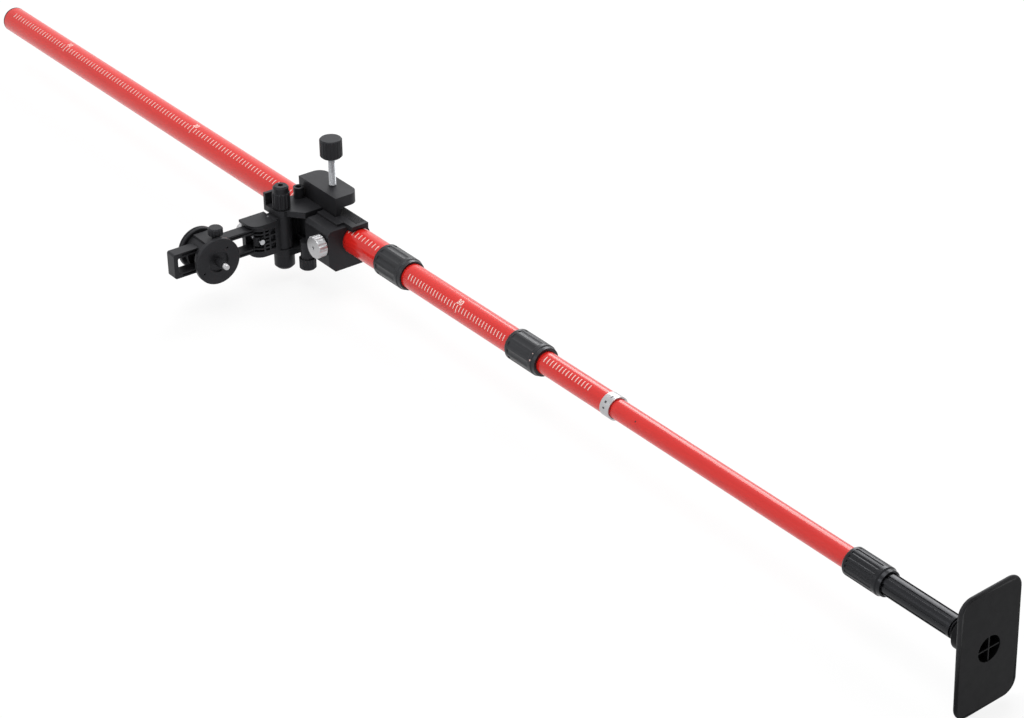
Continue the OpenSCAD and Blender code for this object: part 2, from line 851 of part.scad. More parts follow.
module jaw_plate() {
    x0 = clamp_x + 2;
    y0 = c_y + c_wall_t + 0.3;
    y1 = screw_y + jaw_pad_d / 2 + 0.5;
    x1 = clamp_x1 + jaw_over;
    pitch = (jaw_y - y0 - 2) / jaw_ribs;
    color(black)
        difference() {
            union() {
                translate([x0, y0, roof_z])
                    cube([screw_x + jaw_pad_d / 2 + 2 - x0, y1 - y0, jaw_t]);
                translate([screw_x, y0, roof_z])
                    cube([x1 - screw_x, jaw_y - y0, jaw_t]);
                translate([c_x1 + 0.3, c_y - 1, roof_z])
                    cube([x1 - c_x1 - 0.3, jaw_y - c_y + 1, jaw_t]);
                translate([clamp_x1 + 0.3, c_y - 1, roof_z - 3])
                    cube([jaw_over - 0.3, jaw_y - c_y + 1, 3 + eps]);
            }
            for (i = [0 : jaw_ribs - 1])
                translate([x0 - 1, y0 + 1 + pitch * i, jaw_z - 0.9])
                    cube([x1 - x0 - 3, pitch * 0.5, 2]);
            bar_x(clamp_x1 - 1, base_tube_d + 2, jaw_over + 3);
        }
}

module c_clamp() {
    color(black)
        difference() {
            union() {
                translate([c_x, c_y, c_z0])
                    round_block([c_len, c_reach, c_arm_t], c_corner);
                translate([c_x, c_y, c_z0])
                    cube([c_len, c_reach / 2, c_arm_t]);
                translate([c_x + 1, c_y, roof_z])
                    cube([c_len - 1, c_wall_t, c_z0 - roof_z + 1]);
            }
            translate([screw_x, screw_y, c_z0 - 1])
                cylinder(h = c_arm_t + 2, d = screw_d + 2 * turn_gap);
            translate([c_x + 8, c_y + c_wall_t + 4, c_z0 - 1])
                cube([screw_x - c_x - 18, c_reach - c_wall_t - 10, c_arm_t - 2]);
        }
}

module jaw_screw() {
    color(silver) {
        translate([screw_x, screw_y, pad_z + jaw_pad_t + 0.1])
            cylinder(h = c_z1 + screw_show + 12 - pad_z - jaw_pad_t - 0.1, d = screw_d);
    }
}

module jaw_knob() {
    color(black)
        translate([screw_x, screw_y, c_z1 + screw_show])
            difference() {
                rotate_extrude()
                    polygon([
                        [0, 0],
                        [jaw_knob_d / 2 - 2, 0],
                        [jaw_knob_d / 2, 2],
                        [jaw_knob_d / 2, jaw_knob_h - 1.2],
                        [jaw_knob_d / 2 - 1.2, jaw_knob_h],
                        [0, jaw_knob_h]
                    ]);
                translate([0, 0, -1])
                    cylinder(h = 13.1, d = screw_d + 2 * seat_gap);
                knob_flutes(jaw_knob_d, 20, 1.2, 0.6, jaw_knob_h);
            }
}

module jaw_pad() {
    color(grey)
        translate([screw_x, screw_y, pad_z])
            cylinder(h = jaw_pad_t, d = jaw_pad_d);
}

module pole_shoe() {
    color(grey)
        difference() {
            translate([lock_x, shoe_y + 2, 0])
                rotate([90, 0, 0])
                    cylinder(h = shoe_t + 2, d = shoe_d);
            bar_x(lock_x - 20, 2 * (liner_r + liner_wall + 0.15), 40);
        }
}

module pole_screw() {
    y0 = shoe_y - shoe_t - 0.1;
    color(silver)
        translate([lock_x, y0, 0])
            rotate([90, 0, 0])
                cylinder(h = clamp_front + 1.5 + lock_knob_len - 3 + y0, d = lock_screw_d);
}

module pole_knob() {
    color(silver)
        translate([lock_x, -clamp_front - 1.2, 0])
            rotate([90, 0, 0])
                difference() {
                    rotate_extrude()
                        polygon([
                            [0, 0],
                            [lock_knob_d / 2 - 1, 0],
                            [lock_knob_d / 2, 1],
                            [lock_knob_d / 2, lock_knob_len - 1],
                            [lock_knob_d / 2 - 1, lock_knob_len],
                            [0, lock_knob_len]
                        ]);
                    translate([0, 0, -1])
                        cylinder(h = lock_knob_len - 1.6, d = lock_screw_d + 2 * seat_gap);
                    translate([0, 0, lock_knob_len - 1.4])
                        cylinder(h = 3, d = 4);
                    knob_flutes(lock_knob_d, knob_lobes, 2.4, 1.1, lock_knob_len);
                }
}

// Swing joint

module platform() {
    x0 = clamp_x - 5;
    x1 = block_x - 4;
    lug_x1 = swing_x + knuckle_r;
    post_x = x0 + 8;
    post_y = c_y - 0.6 - post_d / 2;
    color(black)
        difference() {
            union() {
                translate([0, 0, lug_z])
                    linear_extrude(height = lug_t)
                        polygon([
                            [x0, c_y - 0.3],
                            [x1, c_y - 0.3],
                            [x1, swing_y + 13],
                            [lug_x1 + 0.5, swing_y],
                            [lug_x1, swing_y - 4],
                            [lug_x1 - 5, swing_y - knuckle_r],
                            [x0, swing_y - knuckle_r]
                        ]);
                translate([x0 - 2, swing_y - knuckle_r, lug_z])
                    cube([4, 15, lug_t + ear_h]);
                translate([post_x, post_y, lug_top - 1])
                    cylinder(h = post_h + 1, d = post_d);
            }
            translate([swing_x, swing_y, lug_z - 1])
                cylinder(h = lug_t + 2, d = swing_bolt_d + 2 * turn_gap);
            translate([post_x, post_y, lug_top + 1])
                cylinder(h = post_h, d = post_d - 5);
        }
}

module swing_bolt() {
    z0 = low_lug_z - foot_h + 4;
    color(silver)
        translate([swing_x, swing_y, z0])
            cylinder(h = lug_top + swing_knob_h - 8 - z0, d = swing_bolt_d);
}

module swing_knob() {
    r = swing_knob_d / 2;
    grip = swing_knob_h * 0.66;
    color(black)
        translate([swing_x, swing_y, lug_top + 0.3])
            difference() {
                rotate_extrude()
                    polygon([
                        [0, 0],
                        [r - 1, 0],
                        [r, 1],
                        [r, grip],
                        [r - 1.2, grip + 1.2],
                        [r - 1.2, swing_knob_h - 2],
                        [r - 3, swing_knob_h],
                        [0, swing_knob_h]
                    ]);
                translate([0, 0, -1])
                    cylinder(h = swing_knob_h - 7, d = swing_bolt_d + 2 * turn_gap);
                translate([0, 0, swing_knob_h - 6])
                    cylinder(h = 8, d = swing_bolt_d);
                knob_flutes(swing_knob_d, 12, 1.6, 1.1, grip);
            }
}

module swing_foot() {
    color(black)
        translate([swing_x, swing_y, low_lug_z - foot_h])
            difference() {
                rotate_extrude()
                    polygon([
                        [0, 0],
                        [foot_d / 2 - 3, 0],
                        [foot_d / 2, 3],
                        [foot_d / 2, foot_h - seat_gap],
                        [0, foot_h - seat_gap]
                    ]);
                translate([0, 0, 3.8])
                    cylinder(h = foot_h, d = swing_bolt_d + 2 * seat_gap);
            }
}

module low_screw() {
    color(silver)
        translate([low_x, low_y, -clamp_below - 5])
            cylinder(h = 19, d = small_screw_d);
}

module low_knob() {
    color(black)
        translate([low_x, low_y, -clamp_below - 0.3 - low_knob_h])
            difference() {
                rotate_extrude()
                    polygon([
                        [0, 0],
                        [low_knob_d / 2 - 1.5, 0],
                        [low_knob_d / 2, 1.5],
                        [low_knob_d / 2, low_knob_h],
                        [0, low_knob_h]
                    ]);
                translate([0, 0, low_knob_h - 4.8])
                    cylinder(h = 6, d = small_screw_d + 2 * seat_gap);
                knob_flutes(low_knob_d, 12, 1.3, 0.7, low_knob_h);
            }
}

// Arm

// A length of the arm's box from an outer end to the knuckle, its front outer corner round
module box_form(y, z, h) {
    w = box_x1 - box_x0;
    translate([box_x0, y + box_corner, z])
        cube([w, box_y0 - y - box_corner, h]);
    translate([box_x0, y, z])
        cube([w - box_corner, box_corner + 1, h]);
    translate([box_x1 - box_corner, y + box_corner, z])
        cylinder(h = h, r = box_corner);
}

module arm_box() {
    w = box_x1 - box_x0;
    h = box_z1 - box_z0;
    cell = (arm_h - 3) / 6;
    row_z = arm_base + 1.5 + cage_bar / 2;
    color(black)
        difference() {
            union() {
                box_form(box_y1, box_z0, h);
                box_form(box_y1 - cap_over, box_z1 - cap_t, cap_t);
                translate([swing_x, swing_y, knuckle_z0])
                    cylinder(h = knuckle_h, r = knuckle_r);
                translate([swing_x - knuckle_r, box_y0 - 1, knuckle_z0])
                    cube([2 * knuckle_r - 3, swing_y - box_y0 + 1, knuckle_h]);
            }
            translate([swing_x, swing_y, knuckle_z0 - 1])
                cylinder(h = knuckle_h + 2, d = swing_bolt_d + 2 * turn_gap);
            translate([arm_x - arm_t / 2 - slide_gap, box_y1 - 1, arm_base - slide_gap])
                cube([arm_t + 2 * slide_gap, box_len + 0.6, arm_h + 2 * slide_gap]);
            translate([box_x0 - 1, bolt_y, arm_z])
                rotate([0, 90, 0])
                    cylinder(h = w + 2, d = arm_bolt_d + 2 * turn_gap);
            translate([box_x1 - box_wall / 2, bolt_y, arm_z])
                rotate([0, 90, 0])
                    cylinder(h = box_wall, d = arm_bolt_d + 4);
            for (i = [0, 1, 4, 5])
                translate([arm_x + arm_t / 2, box_y1 + 1.5, row_z + cell * i])
                    cube([box_wall + 2, 9, cell - cage_bar]);
            for (i = [0 : 5])
                translate([box_x1 - box_wall / 2, box_y1 + 12.5, row_z + cell * i])
                    cube([box_wall, 5, cell - cage_bar]);
            for (i = [0, 2, 4])
                translate([box_x1 - box_wall / 2, box_y1 + 19.5, row_z + cell * i])
                    cube([box_wall, 6, 2 * cell - cage_bar]);
            translate([stop_x, stop_y, box_z1 - stop_pin_deep - 0.1])
                cylinder(h = stop_pin_deep + 1, d = stop_pin_d + 2 * seat_gap);
        }
}

module stop_pin() {
    color(silver)
        translate([stop_x, stop_y, box_z1 - stop_pin_deep])
            cylinder(h = stop_pin_deep + stop_pin_show, d = stop_pin_d);
}

module arm() {
    r = arm_corner;
    rail = (arm_h - slot_h) / 2;
    color(black)
        translate([arm_x, 0, arm_z])
            difference() {
                translate([-arm_t / 2, arm_y1, arm_h / 2])
                    rotate([0, 90, 0])
                        round_block([arm_h, arm_len, arm_t], r);
                translate([-arm_t, arm_y1 + slot_end, slot_h / 2])
                    rotate([0, 90, 0])
                        round_block([slot_h, arm_len - 2 * slot_end, 2 * arm_t], slot_corner);
                for (s = [-1, 1])
                    for (f = [-1, 1])
                        translate([f * arm_t / 2 - 1.6, arm_y1 + 10, s * (arm_h - rail) / 2 - rail * 0.2])
                            cube([3.2, arm_len - 20, rail * 0.4]);
            }
}

module arm_bolt() {
    x0 = box_x0 - 10;
    color(silver)
        translate([x0, bolt_y, arm_z])
            rotate([0, 90, 0])
                cylinder(h = box_x1 + 1 - x0, d = arm_bolt_d);
}

module arm_knob() {
    color(silver)
        translate([box_x0 - 0.6 - arm_knob_len, bolt_y, arm_z])
            rotate([0, 90, 0])
                difference() {
                    rotate_extrude()
                        polygon([
                            [0, 0],
                            [arm_knob_d / 2 - 1, 0],
                            [arm_knob_d / 2, 1],
                            [arm_knob_d / 2, arm_knob_len - 1],
                            [arm_knob_d / 2 - 1, arm_knob_len],
                            [0, arm_knob_len]
                        ]);
                    translate([0, 0, arm_knob_len - 9.6])
                        cylinder(h = 12, d = arm_bolt_d + 2 * seat_gap);
                    knob_flutes(arm_knob_d, knob_lobes, 1.6, 0.8, arm_knob_len);
                }
}

// Carriage

module carriage() {
    len = car_x1 - car_x0;
    color(black)
        translate([0, car_y, arm_z])
            difference() {
                union() {
                    bar_x(car_x0, carriage_d, len);
                    translate([thumb_x, thumb_y, thumb_z + 2])
                        cylinder(h = carriage_d / 2 - thumb_z - 2 + car_boss_h, d = 9);
                    translate([car_x0 + 2, -9, arm_h / 2 + 1])
                        cube([len - 4, 18, carriage_d / 2 - arm_h / 2]);
                }
                translate([arm_x - arm_t / 2 - slide_gap, -carriage_d, -arm_h / 2 - slide_gap])
                    cube([arm_t + 2 * slide_gap, 2 * carriage_d, arm_h + 2 * slide_gap]);
                bar_x(car_x0 - 1, shaft_d + 2 * turn_gap, len + 2);
                translate([thumb_x, thumb_y, thumb_z - 0.2])
                    cylinder(h = carriage_d, d = small_screw_d + 2 * turn_gap);
            }
}

module mount_disc() {
    color(black)
        translate([disc_x - 0.3 + seat_gap, car_y, arm_z])
            rotate([0, 90, 0])
                difference() {
                    union() {
                        rotate_extrude()
                            polygon([
                                [0, 0],
                                [disc_d / 2 - 0.8, 0],
                                [disc_d / 2, 0.8],
                                [disc_d / 2, disc_t - 0.8],
                                [disc_d / 2 - 0.8, disc_t],
                                [12, disc_t],
                                [12, disc_t - 2],
                                [0, disc_t - 2]
                            ]);
                        cylinder(h = disc_t - 2 + disc_post_h, d = disc_post_d);
                    }
                    translate([0, 0, -1])
                        cylinder(h = disc_t + disc_post_h + 2, d = shaft_d + 2 * turn_gap);
                    for (p = [[-7.9, 6.8], [5.6, -10.8]])
                        translate([p[0] * 1.7, p[1] * 1.7, disc_t - 2])
                            cylinder(h = 4, d = 2.4);
                }
}

module stud_shaft() {
    x0 = wheel_x - wheel_t + 1.5;
    x1 = disc_x + disc_t - 2 + disc_post_h;
    color(silver)
        translate([0, car_y, arm_z]) {
            bar_x(x0, shaft_d, x1 - x0);
            bar_x(x1 + 0.2, stud_d, stud_len);
            bar_x(x1 - 1, shaft_d, 2);
        }
}

module thumbwheel() {
    color(black)
        translate([wheel_x - wheel_t, car_y, arm_z])
            rotate([0, 90, 0])
                difference() {
                    rotate_extrude()
                        polygon([
                            [0, 0],
                            [wheel_d / 2 - 1, 0],
                            [wheel_d / 2, 1],
                            [wheel_d / 2, wheel_t / 2 - 0.8],
                            [wheel_d / 2 - 1.2, wheel_t / 2],
                            [wheel_d / 2, wheel_t / 2 + 0.8],
                            [wheel_d / 2, wheel_t - 1],
                            [wheel_d / 2 - 1, wheel_t],
                            [0, wheel_t]
                        ]);
                    translate([0, 0, 1.3])
                        cylinder(h = wheel_t, d = shaft_d + 2 * seat_gap);
                    for (i = [0 : 5])
                        rotate([0, 0, 60 * i])
                            translate([wheel_d * 0.3, 0, -1])
                                cylinder(h = 3, d = 7);
                }
}

module carriage_screw() {
    color(silver)
        translate([thumb_x, car_y + thumb_y, arm_z + thumb_z])
            cylinder(h = carriage_d / 2 + car_boss_h + 0.3 + car_knob_h - 3 - thumb_z, d = small_screw_d);
}

module carriage_knob() {
    color(black)
        translate([thumb_x, car_y + thumb_y, arm_z + carriage_d / 2 + car_boss_h + 0.3])
            difference() {
                rotate_extrude()
                    polygon([
                        [0, 0],
                        [car_knob_d / 2 - 1, 0],
                        [car_knob_d / 2, 1],
                        [car_knob_d / 2, car_knob_h - 1.5],
                        [car_knob_d / 2 - 1.5, car_knob_h],
                        [0, car_knob_h]
                    ]);
                translate([0, 0, -1])
                    cylinder(h = car_knob_h - 1.8, d = small_screw_d + 2 * seat_gap);
                knob_flutes(car_knob_d, 14, 1.2, 0.6, car_knob_h);
            }
}

base_plug();
base_tube();
base_lock_sleeve();
base_lock_collar();
second_tube();
second_tube_bush();
second_lock_sleeve();
second_lock_collar();
third_tube();
third_tube_bush();
spring_seat();
push_spring();
guide_sleeve();
trim_ring();
spring_tube();
spring_piston();
tip_lock_sleeve();
tip_lock_collar();
tip_rod();
ball_stud();
ceiling_plate();
socket_ring();
clamp_liner();
clamp_body();
jaw_plate();
c_clamp();
jaw_screw();
jaw_knob();
jaw_pad();
pole_shoe();
pole_screw();
pole_knob();
platform();
swing_bolt();
swing_knob();
swing_foot();
low_screw();
low_knob();
arm_box();
stop_pin();
arm();
arm_bolt();
arm_knob();
carriage();
mount_disc();
stud_shaft();
thumbwheel();
carriage_screw();
carriage_knob();
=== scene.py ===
"""Looks of a telescopic range pole with a clamp bracket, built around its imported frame.

Lengths are in metres in the frame's own axes: +X runs along the pole from its base to the ceiling plate,
+Z is up and -Y is the side of the bracket's arm.
"""
import json
import math

import bmesh
import bpy
from mathutils import Matrix, Vector


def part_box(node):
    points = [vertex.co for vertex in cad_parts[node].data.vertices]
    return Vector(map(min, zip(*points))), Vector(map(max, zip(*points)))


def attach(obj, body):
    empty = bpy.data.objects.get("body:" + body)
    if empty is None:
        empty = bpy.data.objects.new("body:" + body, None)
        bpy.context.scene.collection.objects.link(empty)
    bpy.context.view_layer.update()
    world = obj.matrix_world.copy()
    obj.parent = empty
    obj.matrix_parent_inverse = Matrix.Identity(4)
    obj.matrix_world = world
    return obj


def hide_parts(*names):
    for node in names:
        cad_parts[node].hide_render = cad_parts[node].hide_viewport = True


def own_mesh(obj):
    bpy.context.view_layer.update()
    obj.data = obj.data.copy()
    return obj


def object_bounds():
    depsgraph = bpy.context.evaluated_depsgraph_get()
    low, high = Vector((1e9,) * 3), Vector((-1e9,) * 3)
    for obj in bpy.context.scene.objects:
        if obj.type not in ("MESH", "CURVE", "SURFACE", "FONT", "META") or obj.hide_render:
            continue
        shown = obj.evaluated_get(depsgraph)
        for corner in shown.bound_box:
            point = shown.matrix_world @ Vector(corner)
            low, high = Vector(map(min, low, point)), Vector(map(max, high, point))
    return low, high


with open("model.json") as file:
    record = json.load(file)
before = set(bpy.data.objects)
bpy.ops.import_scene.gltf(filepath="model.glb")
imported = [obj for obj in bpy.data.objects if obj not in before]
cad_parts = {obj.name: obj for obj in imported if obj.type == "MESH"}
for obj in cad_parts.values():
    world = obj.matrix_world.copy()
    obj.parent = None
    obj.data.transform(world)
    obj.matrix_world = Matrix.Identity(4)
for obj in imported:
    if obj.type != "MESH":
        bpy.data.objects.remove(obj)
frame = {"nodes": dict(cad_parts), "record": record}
cad_low, cad_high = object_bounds()
nodes = frame["nodes"]
scene = bpy.context.scene

MM = 0.001
TAU = 2 * math.pi
WHITE = (1, 1, 1, 1)

# Camera, as fitted to the photograph's frame of 1024 by 718 pixels, with angles in degrees
IMAGE_W = 1024
FOCAL_PX = 2596.3
SENSOR_W = 36
CAMERA_AZIMUTH = 54.62
CAMERA_ELEVATION = 31.75
CAMERA_ROLL = -3.35
FRAME_TURN = 3.0
CAMERA_AT = Vector((2.8909, -1.3663, 1.2933))
CLIP_END = 50

# Light of the surroundings: low at the horizon, full above a rise (a sine), and weaker on the plate's side
HORIZON_LIGHT = 0.18
ZENITH_LIGHT = 0.75
FULL_LIGHT_RISE = 0.9
PLATE_SIDE_LIGHT = 0.4
BASE_SIDE_LIGHT = 1.15

# Soft lamps: name, place, the point that it faces, width and power
POLE_MIDDLE = (0.85, 0, 0)
NEAR_BRACKET = (0.8, 0, 0)
LAMPS = (
    ("back", (-0.6, 2.4, 2.2), POLE_MIDDLE, 2.2, 90),
    ("top", (1.0, -0.3, 3.2), POLE_MIDDLE, 2.0, 50),
    ("front", (0.4, -3.0, 1.7), NEAR_BRACKET, 1.2, 20),
)

# Floor: half its width, its gap below the lowest piece, its surface, and its share that shows as plain white
FLOOR_HALF = 30.0
FLOOR_GAP = 1 * MM
FLOOR_TONE = (0.94, 0.94, 0.94, 1)
FLOOR_ROUGH = 0.9
FLOOR_WHITE_SHARE = 0.86

# Black plastics: colour, colour of worn edges with their painted highlight, roughness, shine, size and
# strength of the grain, edge radius
PLASTICS = {
    "black_plastic": {
        "colour": (0.0150, 0.0150, 0.0165),
        "worn_and_glint": (0.095, 0.095, 0.098),
        "rough": 0.38,
        "shine": 0.18,
        "grain_size": 0.45 * MM,
        "grain": 0.10,
        "edge": 0.6 * MM,
    },
    "collar_plastic": {
        "colour": (0.0090, 0.0092, 0.0100),
        "worn_and_glint": (0.110, 0.110, 0.113),
        "rough": 0.36,
        "shine": 0.38,
        "grain_size": 0.5 * MM,
        "grain": 0.06,
        "edge": 0.6 * MM,
    },
    "tip_plastic": {
        "colour": (0.0060, 0.0062, 0.0070),
        "worn_and_glint": (0.100, 0.100, 0.103),
        "rough": 0.26,
        "shine": 0.25,
        "grain_size": 2.0 * MM,
        "grain": 0.004,
        "edge": 0.3 * MM,
    },
    "plate_plastic": {
        "colour": (0.0035, 0.0035, 0.0038),
        "worn_and_glint": (0.080, 0.080, 0.083),
        "rough": 0.45,
        "shine": 0.10,
        "grain_size": 0.4 * MM,
        "grain": 0.10,
        "edge": 0.5 * MM,
        "rimmed": True,
    },
    "bush_plastic": {
        "colour": (0.0350, 0.0350, 0.0370),
        "worn_and_glint": (0.090, 0.090, 0.093),
        "rough": 0.50,
        "shine": 0.50,
        "grain_size": 0.5 * MM,
        "grain": 0.20,
        "edge": 0.3 * MM,
    },
}
PLASTIC_TINT = (0.9, 0.92, 1.0, 1.0)
PLASTIC_PATCHES = 1.35

# Metals: colour, roughness, stretch of the turning marks and edge radius
METALS = {
    "bright_metal": {
        "colour": (0.48, 0.48, 0.49),
        "rough": 0.32,
        "stretch": (4, 0.3, 0.3),
        "edge": 0.3 * MM,
    },
    "steel": {
        "colour": (0.50, 0.51, 0.53),
        "rough": 0.28,
        "stretch": (0.3, 0.3, 4),
        "edge": 0.25 * MM,
    },
}
# Painted glint on metal edges: a near-white colour, and the share of it laid over the edge mask
METAL_EDGE_GLINT = (0.92, 0.92, 0.93)
METAL_EDGE_GLINT_SHARE = 0.5
METAL_PATCHES = 0.88

# Paint and print
RED_DEEP = (0.58, 0.011, 0.008)
RED_LIGHT = (0.65, 0.016, 0.011)
RED_SCUFFED = (0.68, 0.05, 0.04)
PRINT_WORN = (0.80, 0.52, 0.47)
PRINT_FULL = (0.86, 0.66, 0.61)

# Edges in the materials: samples, and the cosines between which a turned normal counts as an edge
EDGE_SAMPLES = 6
EDGE_FULL = 0.7
EDGE_NONE = 0.98

# Raised rim round the ceiling plate's face, with a share of the lighter edge colour on it: partly wear,
# partly a painted highlight
PLATE_CORNER = 15 * MM
RIM_WIDE = 3.4 * MM
RIM_SLOPE = 1.6 * MM
RIM_HIGH = 1.2 * MM
RIM_WEAR_AND_SHEEN = 0.3

# Printed scales: lengths along the pole, and angles on a tube from +Y towards +Z in radians
PRINT_THICK = 0.03 * MM
PRINT_GAP = 0.005 * MM
TICK_LEN = 6.6 * MM
TICK_WIDE = 1.1 * MM
TICK_FACETS = 6
LONG_TICK_MORE = 2.5 * MM
SCALE_END_GAP = 3 * MM
COUNT_SLACK = 1e-6
BASE_TICK_STEP = 6.35 * MM
FINE_TICK_STEP = 5 * MM
BASE_TICK_START = 19.4 * MM
SECOND_TICK_START = 903 * MM
THIRD_TICK_START = 1130.6 * MM
THIRD_TICK_COUNT = 15
BASE_TICK_ANGLE = 2.08
SECOND_TICK_ANGLE = 2.56
THIRD_TICK_ANGLE = 2.18

# Figures: the ticks beside which they stand, their height, and the letter size that gives this height
BASE_FIGURE_TICK = 21
TICKS_PER_FIGURE = 48
SECOND_FIGURE_TICK = 17
FIGURE_TALL = 6.2 * MM
LETTER_PER_TALL = 1.4
FIGURE_BOLD = 0.22 * MM
FIGURE_OFFSET = 4.0 * MM
FIGURE_EDGE_MAX = 1.5 * MM
FIGURE_CUTS = 2

# Small marks: how far along the piece, angle on the pole, and length and width in millimetres
RING_MARKS = ((0.45, 2.44, 2.6, 2.4), (0.45, 2.95, 2.6, 2.0), (0.6, 1.8, 0.9, 4.5))
COLLAR_MARKS = ((0.88, 2.37, 1.1, 1.1), (0.88, 2.8, 1.3, 1.3))
TUBE_MARKS = ((0.276, 2.5, 1.6, 1.6),)
MARK_FACETS = 4

# Threads of the clamp screw and the instrument stud; their ends taper over a part of a pitch
SCREW_PITCH = 1.25 * MM
SCREW_DEPTH = 0.62 * MM
STUD_PITCH = 1.27 * MM
STUD_DEPTH = 0.5 * MM
STUD_LEN = 6 * MM
THREAD_SIDES = 40
ROWS_PER_PITCH = 8
TAPER_PITCHES = 0.8
CREST_STEEP = 1.5
CREST_SHIFT = 0.25
SHARP_ANGLE = math.radians(35)

# Plain shaft behind the stud's thread: smaller than the thread, and reaching into it
SHAFT_LESS = 0.175 * MM
SHAFT_PAST = 0.8 * MM
SHAFT_SIDES = 48

# Push spring: its coils, the steps to a coil, and its wire's radius and sides
SPRING_TURNS = 26
SPRING_STEPS = 28
SPRING_WIRE_R = 0.9 * MM
SPRING_WIRE_SIDES = 10


# Shader nodes


def maths(tree, operation, first, second=0.0):
    """The result of a math node; each operand is a number or a socket."""
    step = tree.nodes.new("ShaderNodeMath")
    step.operation = operation
    for slot, value in zip(step.inputs, (first, second)):
        if isinstance(value, (int, float)):
            slot.default_value = value
        else:
            tree.links.new(value, slot)
    return step.outputs[0]


def map_range(tree, value, from_low, from_high, to_low, to_high):
    """A node that maps a value from one range of numbers to another."""
    span = tree.nodes.new("ShaderNodeMapRange")
    span.inputs["From Min"].default_value = from_low
    span.inputs["From Max"].default_value = from_high
    span.inputs["To Min"].default_value = to_low
    span.inputs["To Max"].default_value = to_high
    tree.links.new(value, span.inputs["Value"])
    return span


def seen_directly(tree):
    """A socket that is 1 where the camera, a mirror or a clear body looks straight at the surface."""
    path = tree.nodes.new("ShaderNodeLightPath")
    seen = maths(tree, "MAXIMUM", path.outputs["Is Camera Ray"], path.outputs["Is Glossy Ray"])
    return maths(tree, "MAXIMUM", seen, path.outputs["Is Transmission Ray"])


def show_white(tree, share, shader, kind, output):
    """Shows plain white in place of a shader, by the share that a socket gives."""
    white = tree.nodes.new(kind)
    white.inputs["Color"].default_value = WHITE
    white.inputs["Strength"].default_value = 1
    mix = tree.nodes.new("ShaderNodeMixShader")
    tree.links.new(share, mix.inputs[0])
    tree.links.new(shader.outputs[0], mix.inputs[1])
    tree.links.new(white.outputs[0], mix.inputs[2])
    tree.links.new(mix.outputs[0], tree.nodes[output].inputs["Surface"])


# Camera, light and floor


def add_camera():
    """The photograph's camera, turned with the frame about the pole's axis."""
    azimuth = math.radians(CAMERA_AZIMUTH)
    elevation = math.radians(CAMERA_ELEVATION)
    roll = math.radians(CAMERA_ROLL)
    flat = math.cos(elevation)
    back = Vector((math.sin(azimuth) * flat, -math.cos(azimuth) * flat, math.sin(elevation)))
    level = Vector((math.cos(azimuth), math.sin(azimuth), 0))
    rise = back.cross(level)
    right = math.cos(roll) * level + math.sin(roll) * rise
    up = math.cos(roll) * rise - math.sin(roll) * level
    look = Matrix((right, up, back)).transposed()
    turn = Matrix.Rotation(math.radians(FRAME_TURN), 3, "X")
    data = bpy.data.cameras.new("camera")
    data.sensor_width = SENSOR_W
    data.sensor_fit = "HORIZONTAL"
    data.lens = SENSOR_W * FOCAL_PX / IMAGE_W
    data.clip_end = CLIP_END
    camera = bpy.data.objects.new("camera", data)
    camera.matrix_world = Matrix.Translation(CAMERA_AT) @ (turn @ look).to_4x4()
    scene.collection.objects.link(camera)
    scene.camera = camera


def add_lamp(name, at, target, size, power):
    """A soft square lamp that faces a point."""
    data = bpy.data.lights.new(name, "AREA")
    data.shape = "SQUARE"
    data.size = size
    data.energy = power
    lamp = bpy.data.objects.new(name, data)
    lamp.location = at
    lamp.rotation_mode = "QUATERNION"
    lamp.rotation_quaternion = (Vector(target) - Vector(at)).to_track_quat("-Z", "Y")
    scene.collection.objects.link(lamp)


def add_world():
    """Pale light that falls off to the horizon and to the plate's side, plain white where it is seen."""
    world = bpy.data.worlds.new("studio")
    world.use_nodes = True
    tree = world.node_tree
    sky = tree.nodes["Background"]
    sky.inputs["Color"].default_value = WHITE
    way = tree.nodes.new("ShaderNodeTexCoord")
    split = tree.nodes.new("ShaderNodeSeparateXYZ")
    tree.links.new(way.outputs["Generated"], split.inputs[0])
    fade = map_range(tree, split.outputs["Z"], 0.0, FULL_LIGHT_RISE, HORIZON_LIGHT, ZENITH_LIGHT)
    fade.interpolation_type = "SMOOTHSTEP"
    side = map_range(tree, split.outputs["X"], -1.0, 1.0, BASE_SIDE_LIGHT, PLATE_SIDE_LIGHT)
    strength = maths(tree, "MULTIPLY", fade.outputs["Result"], side.outputs["Result"])
    tree.links.new(strength, sky.inputs["Strength"])
    show_white(tree, seen_directly(tree), sky, "ShaderNodeBackground", "World Output")
    scene.world = world


def add_floor():
    """A wide pale floor just below the lowest piece, with the object's soft shadow on it."""
    mesh = bpy.data.meshes.new("floor")
    low = cad_low.z - FLOOR_GAP
    sides = ((-1, -1), (1, -1), (1, 1), (-1, 1))
    mesh.from_pydata([(FLOOR_HALF * x, FLOOR_HALF * y, low) for x, y in sides], [], [(0, 1, 2, 3)])
    floor = bpy.data.objects.new("floor", mesh)
    scene.collection.objects.link(floor)
    paint = bpy.data.materials.new("floor_white")
    paint.use_nodes = True
    tree = paint.node_tree
    surface = tree.nodes["Principled BSDF"]
    surface.inputs["Base Color"].default_value = FLOOR_TONE
    surface.inputs["Roughness"].default_value = FLOOR_ROUGH
    surface.inputs["Specular IOR Level"].default_value = 0.0
    share = maths(tree, "MULTIPLY", seen_directly(tree), FLOOR_WHITE_SHARE)
    show_white(tree, share, surface, "ShaderNodeEmission", "Material Output")
    mesh.materials.append(paint)


# Materials


